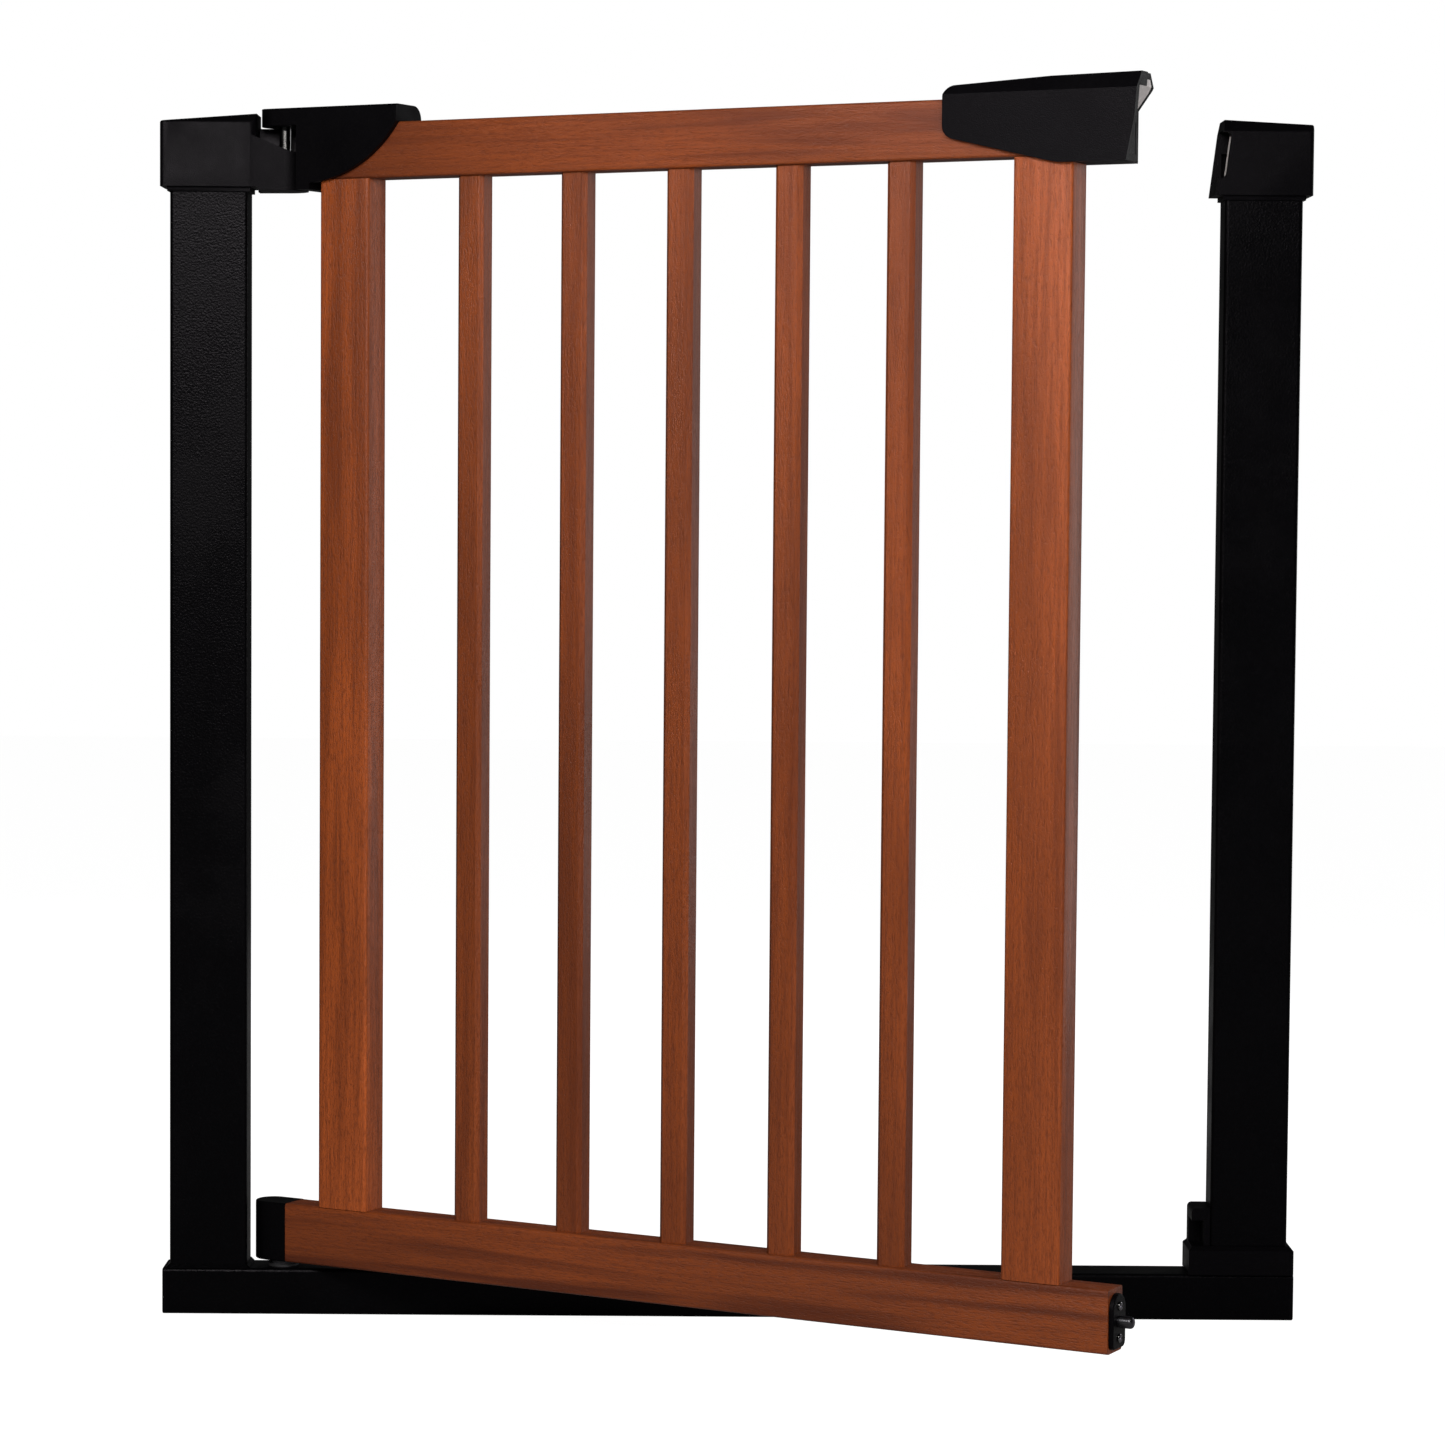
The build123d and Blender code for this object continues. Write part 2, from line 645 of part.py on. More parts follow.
# ---------------------------------------------------------------- hinge-side fittings
def housing_end_view():
    """Long block whose front and rear top edges are rounded as the housing's are."""
    x_range = (-HALF_SHELL - 1, HOUSING_END + 1)
    body = block(x_range, (-HALF_SHELL, HALF_SHELL), (ARM_BOTTOM - 1, HOUSING_TOP))
    front, rear = body.edges().filter_by(Axis.X).group_by(Axis.Z)[-1].sort_by(Axis.Y)
    body = fillet(rear, HOUSING_REAR_ROUNDING)
    front = body.edges().filter_by(Axis.X).group_by(Axis.Z)[-1].sort_by(Axis.Y)[0]
    return fillet(front, HOUSING_ROUNDING)


def housing_body():
    """Both halves of the hinge housing: a jaw over the arm, and a cover over rail and stile."""
    cover_outline = [
        Line((HOUSING_START, 0, HOUSING_TOP), (HOUSING_START, 0, ARM_BOTTOM)),
        Line((HOUSING_START, 0, ARM_BOTTOM), (28, 0, ARM_BOTTOM)),
        Line((28, 0, ARM_BOTTOM), (28, 0, HOUSING_FOOT)),
        ThreePointArc((28, 0, HOUSING_FOOT), (65, 0, 740), (HOUSING_END, 0, RAIL_TOP)),
        Line((HOUSING_END, 0, RAIL_TOP), (HOUSING_END, 0, HOUSING_TOP)),
        Line((HOUSING_END, 0, HOUSING_TOP), (HOUSING_START, 0, HOUSING_TOP)),
    ]
    cover = extrude(make_face(Wire(cover_outline)), HALF_SHELL, both=True, dir=(0, 1, 0))
    jaw = rod_z(HALF_SHELL, 0, 0, (JAW_BOTTOM, HOUSING_TOP))
    jaw += block((0, HOUSING_START), (-HALF_SHELL, HALF_SHELL), (JAW_BOTTOM, HOUSING_TOP))
    whole = (cover + jaw) & housing_end_view()
    whole -= rod_z(PIN_RADIUS + RUNNING_GAP, 0, 0, (JAW_BOTTOM - 1, TOP_PIN_Z[1] + CLEAR))
    whole -= block((TOP_RAIL[0], 120), (-HALF_DOOR, HALF_DOOR), (ARM_BOTTOM - 1, RAIL_TOP))
    for x, z in HOUSING_SCREWS:
        whole -= casing_screw_bore(x, z)
    return whole


def casing_screw_bore(x, z):
    bore = rod_y(SCREW_RADIUS, x, (0, HALF_SHELL + 1), z)
    return bore + rod_y(SCREW_SINK_RADIUS, x, (HALF_SHELL - SCREW_SINK, HALF_SHELL + 1), z)


def halves(whole):
    """Cut a two-part casing at its middle plane: front half, then rear half."""
    front = whole & block((-100, 700), (-50, 0), (0, 900))
    rear = whole & block((-100, 700), (0, 50), (0, 900))
    return front, rear


def bottom_end_cap():
    """Round-ended cap on the bottom rail that turns about the lower pivot pin."""
    half = HALF_DOOR + 0.4
    start = LOW_RAIL[0]
    heights = (LOW_RAIL_BOTTOM, LOW_RAIL_TOP)
    body = rod_z(half, END_CAP_NOSE, 0, heights) + block((END_CAP_NOSE, start), (-half, half), heights)
    body = fillet(body.faces().sort_by(Axis.Z)[-1].edges(), 1.2)
    body = fillet(body.faces().sort_by(Axis.Z)[0].edges(), 1.2)
    cap = body + block((start - 1, start + SPIGOT_LENGTH - 0.5), (-6, 6), (42, 64))
    cap -= rod_z(PIN_RADIUS + RUNNING_GAP, 0, 0, (LOW_RAIL_BOTTOM - 1, PIVOT_PIN_Z[1] + CLEAR))
    cap -= rod_x(SCREW_RADIUS, (-20, start + 40), 0, END_SCREW_Z)
    return cap - rod_x(SCREW_SINK_RADIUS, (-20, END_CAP_FACE), 0, END_SCREW_Z)


def end_cap_screw():
    """Screw along the rail that holds the end cap on."""
    head = rod_x(SCREW_HEAD_RADIUS, (END_CAP_FACE - 2, END_CAP_FACE), 0, END_SCREW_Z)
    tip = LOW_RAIL[0] + SPIGOT_LENGTH - 0.5
    shank = rod_x(SCREW_RADIUS, (END_CAP_FACE - 0.1, tip), 0, END_SCREW_Z)
    slot_x = (END_CAP_FACE - 2.3, END_CAP_FACE - 1.3)
    return head + shank - block(slot_x, (-3, 3), (END_SCREW_Z - 0.5, END_SCREW_Z + 0.5))


# ---------------------------------------------------------------- latch-side fittings
def handle_face():
    """Side view of the handle with its left corners and lower sweep rounded."""
    corners = [
        (HANDLE_LEFT, 744.0),
        (HANDLE_LEFT, 773.5),
        (537.0, 777.2),
        *FRONT_END,
        (542.0, HANDLE_BOTTOM),
    ]
    face = make_face(Polyline(*[(x, 0, z) for x, z in corners], close=True))
    for x, z, radius in ((HANDLE_LEFT, 744, 8), (HANDLE_LEFT, 773.5, 7), (542, HANDLE_BOTTOM, 40)):
        corner = [v for v in face.vertices() if abs(v.X - x) + abs(v.Z - z) < 0.1]
        face = fillet(corner, radius)
    return face


def latch_face():
    """Pale face between the casing's halves at the latch end; its lower part leans back."""
    low, high = LATCH_FACE_Z
    end_x, lean_top = REAR_END[1]
    side = side_plate(
        [
            (LATCH_FACE_START, low),
            (REAR_END[2][0], low),
            (end_x + 0.5, lean_top),
            (end_x + 0.5, high),
            (LATCH_FACE_START, high),
        ],
        DOOR_DEPTH,
    )
    half = LATCH_FACE_HALF_DEPTH
    x_range = (LATCH_FACE_START - 1, end_x + 2)
    return side & crowned_end_view(x_range, half, low, high - 7, half - 3.5, 7)


def handle_body():
    """Both halves of the handle casing: hollow at the latch end for the works."""
    whole = extrude(handle_face(), HALF_SHELL, both=True, dir=(0, 1, 0))
    whole &= crowned_end_view(
        (HANDLE_LEFT - 1, FRONT_END[0][0] + 1),
        HALF_SHELL,
        HANDLE_BOTTOM - 1,
        HANDLE_FRONT_TOP,
        HANDLE_CROWN,
        HANDLE_TOP - HANDLE_FRONT_TOP,
    )
    door_room = (-HALF_DOOR, HALF_DOOR)
    rooms = [
        block((HANDLE_LEFT - 1, TOP_RAIL[1] + 0.5), door_room, (HANDLE_BOTTOM - 1, RAIL_TOP)),
        block(LATCH_STILE, door_room, (HANDLE_BOTTOM - 1, RAIL_BOTTOM)),
        block((TOP_RAIL[1], BOLT_PLATE[1]), door_room, (RAIL_BOTTOM, RAIL_TOP)),
        block((BOLT_PLATE[0], 600), door_room, (RAIL_BOTTOM, BOLT_PLATE_TOP)),
        block(
            (STEM[0] - 1, STEM[1] + BOLT_TRAVEL + 1),
            (-STEM_HALF_DEPTH - 0.5, STEM_HALF_DEPTH + 0.5),
            (RAIL_TOP - 1, HANDLE_TOP + 1),
        ),
        block(
            (SLIDER[0] - 2, SLIDER[1] + BOLT_TRAVEL + 2),
            (-SLIDER_HALF_DEPTH - 1, SLIDER_HALF_DEPTH + 1),
            (HANDLE_TOP - 4, HANDLE_TOP + 1),
        ),
        leaning_end_room(),
        latch_face(),
    ]
    for room in rooms:
        whole -= room
    for x, z in HANDLE_SCREWS:
        whole -= casing_screw_bore(x, z)
    return whole


def leaning_end_room():
    """The open room in front of the pale latch face, between the casing's end edges."""
    end_x, lean_top = REAR_END[1]
    outline = [
        (REAR_END[2][0], BOLT_PLATE_TOP),
        (REAR_END[2][0], LATCH_FACE_Z[0]),
        (end_x + 0.5, lean_top),
        (600, lean_top),
        (600, BOLT_PLATE_TOP),
    ]
    return side_plate(outline, LATCH_FACE_HALF_DEPTH * 2)


def handle_halves():
    """The two casings; the rear one is cut back below the latch face."""
    front, rear = halves(handle_body())
    rear_side = side_plate(
        [(HANDLE_LEFT - 1, HANDLE_TOP), *REAR_END, (HANDLE_LEFT - 1, HANDLE_BOTTOM)],
        SHELL_DEPTH + 2,
    )
    return front, rear & rear_side


def bolt_plate():
    """Black plate under the latch face, with a window for the bolt."""
    plate = block(BOLT_PLATE, (-HALF_DOOR, HALF_DOOR), (RAIL_BOTTOM, BOLT_PLATE_TOP))
    window = block(
        (BOLT_PLATE[0] - 1, BOLT_PLATE[1] + 1),
        (-BOLT_HALF_DEPTH - CLEAR, BOLT_HALF_DEPTH + CLEAR),
        (BOLT_Z[0] - CLEAR, BOLT_Z[1] + CLEAR),
    )
    return plate - window


def bolt_guide():
    """Cradle inside the handle that the bolt slides in."""
    x_range = (TOP_RAIL[1] + 0.5, BOLT_PLATE[0])
    cradle = block(x_range, (-9, 9), (BOLT_Z[0] - 5, BOLT_Z[1] + 2))
    channel = block(
        (x_range[0] - 1, x_range[1] + 1),
        (-BOLT_HALF_DEPTH - CLEAR, BOLT_HALF_DEPTH + CLEAR),
        (BOLT_Z[0] - CLEAR, BOLT_Z[1] + 3),
    )
    return cradle - channel


def latch_bolt():
    """Sliding steel bolt with a socket for the slider's stem and a seat for the spring."""
    slug = block(BOLT, (-BOLT_HALF_DEPTH, BOLT_HALF_DEPTH), BOLT_Z)
    slug = chamfer(slug.faces().sort_by(Axis.X)[-1].edges(), 0.8)
    slug -= block(STEM, (-STEM_HALF_DEPTH, STEM_HALF_DEPTH), (BOLT_Z[1] - 6, BOLT_Z[1] + 1))
    return slug - rod_x(SPRING_BORE, (BOLT[0] - 1, STEM[0]), 0, BOLT_CENTRE_Z)


def thumb_slider():
    """Ribbed thumb pad in the top of the handle, on a stem that moves the bolt."""
    pad_z = (HANDLE_TOP - 3.6, HANDLE_TOP - 0.6)
    pad = block(SLIDER, (-SLIDER_HALF_DEPTH, SLIDER_HALF_DEPTH), pad_z)
    pad = fillet(pad.edges().filter_by(Axis.Z), 2.0)
    for number in range(4):
        x = SLIDER[0] + 2.9 + number * 3
        pad -= block((x, x + 1.2), (-4.5, 4.5), (HANDLE_TOP - 1.4, HANDLE_TOP))
    stem = block(STEM, (-STEM_HALF_DEPTH, STEM_HALF_DEPTH), (BOLT_Z[1] - 6, pad_z[0]))
    return pad + stem


def latch_spring():
    """Light spring between the rail's end and the bolt."""
    length = SPRING[1] - SPRING[0] - SPRING_WIRE * 2
    path = Helix(length / SPRING_TURNS, length, SPRING_RADIUS)
    section = Plane(origin=path @ 0, z_dir=path % 0) * Circle(SPRING_WIRE)
    coil = sweep(section, path=path)
    return Location((SPRING[0] + SPRING_WIRE, 0, BOLT_CENTRE_Z), (0, 90, 0)) * coil


def lower_end_plate():
    """Black plate with a round top on the free end of the bottom rail."""
    x_range = (LOW_RAIL[1], LOW_RAIL[1] + PLATE_THICKNESS)
    half = PLATE_HALF_DEPTH
    plate = rod_x(half, x_range, 0, PLATE_Z[1] - half)
    plate += block(x_range, (-half, half), (PLATE_Z[0], PLATE_Z[1] - half))
    foot = [edge for edge in plate.edges().filter_by(Axis.X) if edge.center().Z < PLATE_Z[0] + 1]
    plate = fillet(foot, 4.0)
    plate = fillet(plate.faces().sort_by(Axis.X)[-1].edges(), 1.0)
    plate -= rod_x(STUB_RADIUS, (LOW_RAIL[1] - 10, STUB_TIP), 0, STUB_Z)
    for z in PLATE_SCREW_Z:
        plate -= rod_x(SMALL_SCREW_RADIUS, (LOW_RAIL[1] - 10, STUB_TIP), 0, z)
    return plate


def lower_stub_pin():
    """Short round-nosed pin that drops behind the lower catch's stop."""
    pin = rod_x(STUB_RADIUS, (LOW_RAIL[1] - 16, STUB_TIP), 0, STUB_Z)
    pin = fillet(pin.faces().sort_by(Axis.X)[-1].edges(), 2.2)
    return chamfer(pin.faces().sort_by(Axis.X)[0].edges(), 0.7)


def plate_screw(z):
    """Small domed screw that holds the end plate."""
    face = LOW_RAIL[1] + PLATE_THICKNESS
    head = rod_x(2.7, (face, face + 1.1), 0, z)
    head = fillet(head.faces().sort_by(Axis.X)[-1].edges(), 0.7)
    slot = block((face + 0.6, face + 2), (-2.2, 2.2), (z - 0.3, z + 0.3))
    return head + rod_x(SMALL_SCREW_RADIUS, (LOW_RAIL[1] - 12, face + 0.1), 0, z) - slot


def casing_screw(x, z):
    """Screw that clamps a two-part casing on the top rail from behind."""
    return rear_screw(x, z, HALF_SHELL, 20.0)


# ---------------------------------------------------------------- write every piece
def save_frame():
    save("base_bar", base_bar())
    save("base_end_plugs", group(base_end_plug(side) for side in (-1, 1)))
    save("base_spindle_inserts", group(base_insert(side) for side in (-1, 1)))
    save("cap_spindle_inserts", group(cap_insert(side) for side in (-1, 1)))
    save("hinge_post", post(-1))
    save("latch_post", post(1))
    save("hinge_post_weld", hinge_post_weld())
    cap, arm = hinge_cap()
    save("hinge_post_cap", cap)
    save("hinge_arm", arm)
    cap_end, cap = latch_cap()
    save("latch_post_cap", cap)
    save("latch_cap_end", cap_end)
    save("strike_liner", strike_liner())
    cap_screw_x = (-POST_CENTRE_X, POST_CENTRE_X)
    save("cap_screws", group(rear_screw(x, CAP_SCREW_Z, CAP_DEPTH / 2, 9.0) for x in cap_screw_x))
    save("lower_catch", lower_catch())
    save("pivot_bush", pivot_bush())
    save("top_hinge_pin", hinge_pin(TOP_PIN_Z))
    save("lower_pivot_pin", hinge_pin(PIVOT_PIN_Z))
    save("thrust_washer", thrust_washer())


def save_door_wood():
    save_door("top_rail", top_rail())
    save_door("bottom_rail", bottom_rail())
    save_door("hinge_stile", stile(HINGE_STILE))
    save_door("latch_stile", stile(LATCH_STILE))
    for number, start in enumerate(bar_starts(), 1):
        save_door(f"bar_{number}", bar(start))
    save_door("bar_dowels", group(dowel(x, z) for x, z in bar_dowel_places()))
    save_door("stile_dowels", group(dowel(x, z) for x, z in stile_dowel_places()))


def save_door_fittings():
    front, rear = halves(housing_body())
    save_door("hinge_housing_front", front)
    save_door("hinge_housing_rear", rear)
    save_door("hinge_housing_screws", group(casing_screw(x, z) for x, z in HOUSING_SCREWS))
    save_door("bottom_end_cap", bottom_end_cap())
    save_door("end_cap_screw", end_cap_screw())
    front, rear = handle_halves()
    save_door("handle_front", front)
    save_door("handle_rear", rear)
    save_door("handle_screws", group(casing_screw(x, z) for x, z in HANDLE_SCREWS))
    save_door("latch_face", latch_face())
    save_door("bolt_plate", bolt_plate())
    save_door("bolt_guide", bolt_guide())
    save_door("latch_bolt", latch_bolt())
    save_door("thumb_slider", thumb_slider())
    save_door("latch_spring", latch_spring())
    save_door("lower_end_plate", lower_end_plate())
    save_door("lower_stub_pin", lower_stub_pin())
    save_door("end_plate_screws", group(plate_screw(z) for z in PLATE_SCREW_Z))


os.makedirs("parts", exist_ok=True)
save_frame()
save_door_wood()
save_door_fittings()
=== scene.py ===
# %% [markdown]
# # A wooden safety gate in a black steel frame
# The gate has two halves. A U of black steel tube stands in the doorway, and a stained wooden door hangs
# in it. The CAD model already holds every piece in its true place. This script dresses it: wood, powder
# coat, moulded plastic and steel, on a pale floor in soft light. Pieces that need a finer shape are built
# again here, on the measures of the CAD pieces that they stand for.

# %% Load the CAD model and keep its box
import json
import math

import bmesh
import bpy
from mathutils import Matrix, Vector, noise


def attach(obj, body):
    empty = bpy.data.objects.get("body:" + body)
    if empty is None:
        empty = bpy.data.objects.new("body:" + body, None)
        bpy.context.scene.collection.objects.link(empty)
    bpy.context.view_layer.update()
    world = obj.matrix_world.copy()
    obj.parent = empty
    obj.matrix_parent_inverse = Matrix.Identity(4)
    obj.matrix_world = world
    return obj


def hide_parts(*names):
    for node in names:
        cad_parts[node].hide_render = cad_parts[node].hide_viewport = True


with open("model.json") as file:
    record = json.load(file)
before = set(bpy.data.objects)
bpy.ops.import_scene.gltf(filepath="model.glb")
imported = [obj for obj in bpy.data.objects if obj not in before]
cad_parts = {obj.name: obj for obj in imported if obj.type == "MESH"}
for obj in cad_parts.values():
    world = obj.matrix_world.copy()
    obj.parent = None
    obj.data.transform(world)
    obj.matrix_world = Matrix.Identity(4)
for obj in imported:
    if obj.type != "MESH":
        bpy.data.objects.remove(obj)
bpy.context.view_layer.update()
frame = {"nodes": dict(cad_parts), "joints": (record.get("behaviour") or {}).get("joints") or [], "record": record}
NODES = frame["nodes"]
RECORD = frame["record"]
scene = bpy.context.scene

# %% [markdown]
# The door stands ajar, so its boards lie askew to the frame. They could be measured by hand, but the record
# already says where the upright hinge pin is, and which way the latch bolt slides, which is along the door.
# The pin's place and the door's angle both come from it, and each board is then a plain box in those axes.

# %% Find the door's own axes
ALONG = 0
UP = 2
joints = {joint["name"]: joint for joint in frame["joints"]}
hinge_point = Vector(joints["door_swing"]["pos_m"])
along_door = Vector(joints["latch_slide"]["axis"])
door_angle = math.atan2(along_door.y, along_door.x)
DOOR = Matrix.Translation((hinge_point.x, hinge_point.y, 0)) @ Matrix.Rotation(door_angle, 4, "Z")
FRAME = Matrix.Identity(4)
print("door stands open by", round(-math.degrees(door_angle), 2), "degrees")


def limits(name, axes):
    """Lowest and highest corner of a CAD piece, measured along the given axes."""
    to_axes = axes.inverted()
    points = [to_axes @ vertex.co for vertex in NODES[name].data.vertices]
    low = Vector([min(p[i] for p in points) for i in range(3)])
    high = Vector([max(p[i] for p in points) for i in range(3)])
    return low, high


stile_low, stile_high = limits("hinge_stile", DOOR)
print("hinge stile is", [round(v * 1000, 1) for v in stile_high - stile_low], "mm")

# %% [markdown]
# ## Camera
# A gate is tall and has many upright lines, which a short lens would make lean. So the camera stands well
# back with a long lens, a little above the middle of the gate, and looks very slightly down.

# %% Camera
LENS_MM = 102.16
SENSOR_MM = 36.0
CAMERA_PLACE = (-0.0269, -2.6503, 0.5388)
# The next three are in degrees.
TIPPED_DOWN = 3.304
TURNED_RIGHT = 0.439
ROLLED = 0.458

camera_data = bpy.data.cameras.new("camera")
camera_data.lens = LENS_MM
camera_data.sensor_width = SENSOR_MM
camera = bpy.data.objects.new("camera", camera_data)
scene.collection.objects.link(camera)
tip_down = Matrix.Rotation(math.radians(90 - TIPPED_DOWN), 4, "X")
turn = Matrix.Rotation(math.radians(-TURNED_RIGHT), 4, "Z")
roll = Matrix.Rotation(math.radians(ROLLED), 4, "Z")
camera.matrix_world = Matrix.Translation(CAMERA_PLACE) @ turn @ tip_down @ roll
scene.camera = camera
print("camera stands", round(camera.matrix_world.translation.length, 2), "m from the gate's foot")

# %% [markdown]
# ## Studio
# Goods like this gate are often shown on a white sweep. A bright white surround would wash grey into the
# black parts, so it is kept dim for every ray except those of the camera, which see it as white. Colours are
# shown as they are, with no film look.

# %% Colour management and world
SURROUND_LIGHT = 0.035
SURROUND_SEEN = 1.0
WHITE = (1.0, 1.0, 1.0)

scene.view_settings.view_transform = "Standard"
scene.view_settings.look = "None"
world = bpy.data.worlds.new("studio")
scene.world = world
world.use_nodes = True
world_tree = world.node_tree
world_tree.nodes.clear()
world_out = world_tree.nodes.new("ShaderNodeOutputWorld")
world_mix = world_tree.nodes.new("ShaderNodeMixShader")
world_rays = world_tree.nodes.new("ShaderNodeLightPath")
for strength, socket in ((SURROUND_LIGHT, 1), (SURROUND_SEEN, 2)):
    glow = world_tree.nodes.new("ShaderNodeBackground")
    glow.inputs["Color"].default_value = (*WHITE, 1.0)
    glow.inputs["Strength"].default_value = strength
    world_tree.links.new(glow.outputs[0], world_mix.inputs[socket])
world_tree.links.new(world_rays.outputs["Is Camera Ray"], world_mix.inputs[0])
world_tree.links.new(world_mix.outputs[0], world_out.inputs["Surface"])
print("world glows at", SURROUND_LIGHT, "and is white to the camera")

# %% [markdown]
# One large lamp hangs high in front and gives the wood its warm side. The fill evens out the shadows, the
# side lamp draws the edges, the accent picks out the handle's end, and the back lamp serves the views from
# behind. Large lamps show as pale patches in black plastic, so three of the five are kept out of reflections.


# %% Soft lamps
def soft_lamp(name, place, target, size, power, tint, mirrored):
    """A rectangular lamp at a place, turned to a target; it may be kept out of reflections."""
    lamp = bpy.data.lights.new(name, "AREA")
    lamp.shape = "RECTANGLE"
    lamp.size, lamp.size_y = size
    lamp.energy = power
    lamp.color = tint
    holder = bpy.data.objects.new(name, lamp)
    look = Vector(target) - Vector(place)
    facing = look.to_track_quat("-Z", "Y").to_matrix().to_4x4()
    holder.matrix_world = Matrix.Translation(place) @ facing
    scene.collection.objects.link(holder)
    holder.visible_glossy = mirrored
    return holder


WARM = (1.0, 0.97, 0.93)
ACCENT_SPREAD = 45
LAMPS = (
    # name, place, target, width and height, watts, tint, mirrored
    ("key_lamp", (-0.4, -1.45, 1.2), (0.0, 0.0, 0.55), (1.1, 0.4), 20.0, WARM, True),
    ("fill_lamp", (0.8, -2.2, 0.6), (0.0, 0.0, 0.4), (1.2, 1.2), 32.0, WHITE, False),
    ("side_lamp", (1.7, 0.9, 0.6), (-0.2, 0.0, 0.4), (0.5, 1.2), 4.0, WHITE, True),
    ("accent_lamp", (-0.7, -1.1, 1.05), (0.2, -0.25, 0.76), (0.3, 0.3), 0.6, WHITE, False),
    ("back_lamp", (0.3, 1.8, 1.3), (0.0, 0.0, 0.4), (1.6, 1.0), 18.0, WHITE, False),
)
hung = {row[0]: soft_lamp(*row) for row in LAMPS}
hung["accent_lamp"].data.spread = math.radians(ACCENT_SPREAD)
print(len(hung), "lamps hung")

# %% [markdown]
# The floor is a plain white sheet. A curved backdrop would hide its far edge, but a flat grid is simpler. It
# shines a little, only to the camera, so its edge melts into the white surround, and the gate still throws a
# faint shadow on it.

# %% Floor
FLOOR_REACH = 6.0
FLOOR_GREY = (0.30, 0.30, 0.30, 1.0)
FLOOR_GLOW = 0.975

floor_bm = bmesh.new()
bmesh.ops.create_grid(floor_bm, x_segments=8, y_segments=8, size=FLOOR_REACH)
floor_mesh = bpy.data.meshes.new("floor")
floor_bm.to_mesh(floor_mesh)
floor_bm.free()
floor = bpy.data.objects.new("floor", floor_mesh)
scene.collection.objects.link(floor)
floor_paint = bpy.data.materials.new("floor_paint")
floor_paint.use_nodes = True
floor_tree = floor_paint.node_tree
floor_look = floor_tree.nodes["Principled BSDF"]
floor_look.inputs["Base Color"].default_value = FLOOR_GREY
floor_look.inputs["Roughness"].default_value = 0.9
floor_look.inputs["Emission Color"].default_value = (*WHITE, 1.0)
floor_rays = floor_tree.nodes.new("ShaderNodeLightPath")
floor_gain = floor_tree.nodes.new("ShaderNodeMath")
floor_gain.operation = "MULTIPLY"
floor_gain.inputs[1].default_value = FLOOR_GLOW
floor_tree.links.new(floor_rays.outputs["Is Camera Ray"], floor_gain.inputs[0])
floor_tree.links.new(floor_gain.outputs[0], floor_look.inputs["Emission Strength"])
floor_mesh.materials.append(floor_paint)
print("floor laid,", len(floor_mesh.polygons), "faces")

# %% [markdown]
# ## Shared surface effects
# An effect that more than one material uses could be copied into each of them, but then a change has to be
# made many times. So each one is a node group. The groups give masks and heights, and the materials turn
# those into colour, gloss and bumps.


# %% Node helpers
def new_group(name, inputs, outputs):
    """A shader node group with typed sockets; returns its tree, inlet and outlet."""
    tree = bpy.data.node_groups.new(name, "ShaderNodeTree")
    for label, kind, value in inputs:
        socket = tree.interface.new_socket(name=label, in_out="INPUT", socket_type=kind)
        if value is not None:
            socket.default_value = value
    for label in outputs:
        tree.interface.new_socket(name=label, in_out="OUTPUT", socket_type="NodeSocketFloat")
    return tree, tree.nodes.new("NodeGroupInput"), tree.nodes.new("NodeGroupOutput")


def math_node(tree, operation, *values):
    """A maths node; each value is a number or a socket."""
    made = tree.nodes.new("ShaderNodeMath")
    made.operation = operation
    for slot, value in enumerate(values):
        if isinstance(value, (int, float)):
            made.inputs[slot].default_value = value
        else:
            tree.links.new(value, made.inputs[slot])
    return made.outputs[0]


def span(tree, source, low, high, to_low=0.0, to_high=1.0):
    """Stretch the part of a value between low and high to a new range, with soft ends."""
    made = tree.nodes.new("ShaderNodeMapRange")
    made.interpolation_type = "SMOOTHSTEP"
    for label, value in (("From Min", low), ("From Max", high), ("To Min", to_low), ("To Max", to_high)):
        made.inputs[label].default_value = value
    tree.links.new(source, made.inputs["Value"])
    return made.outputs["Result"]


print("helpers ready:", ", ".join(helper.__name__ for helper in (new_group, math_node, span)))

# %% [markdown]
# Wood grows along one way, so its marks are long and thin. A scanned board would repeat on every piece and
# show a seam at the corners. Noise drawn out along the first axis does neither. Wide bands are the year rings
# cut lengthwise, thin lines are the fibres, and short dark specks are pores that took up stain.

# %% Wood grain group
grain_tree, grain_in, grain_out = new_group(
    "wood_grain",
    [("Vector", "NodeSocketVector", None), ("Seed", "NodeSocketFloat", 0.0)],
    ["Bands", "Fibres", "Pores", "Clouds"],
)
SPECK_SHARE = 0.8


def drawn_noise(scale, draw, detail, rough, bend=0.0):
    """Noise that is longer along the first axis by one over draw."""
    squeeze = grain_tree.nodes.new("ShaderNodeMapping")
    squeeze.inputs["Scale"].default_value = (draw, 1.0, 1.0)
    field = grain_tree.nodes.new("ShaderNodeTexNoise")
    field.noise_dimensions = "4D"
    field.inputs["Scale"].default_value = scale
    field.inputs["Detail"].default_value = detail
    field.inputs["Roughness"].default_value = rough
    field.inputs["Distortion"].default_value = bend
    grain_tree.links.new(grain_in.outputs["Vector"], squeeze.inputs["Vector"])
    grain_tree.links.new(squeeze.outputs["Vector"], field.inputs["Vector"])
    grain_tree.links.new(grain_in.outputs["Seed"], field.inputs["W"])
    return field.outputs["Fac"]


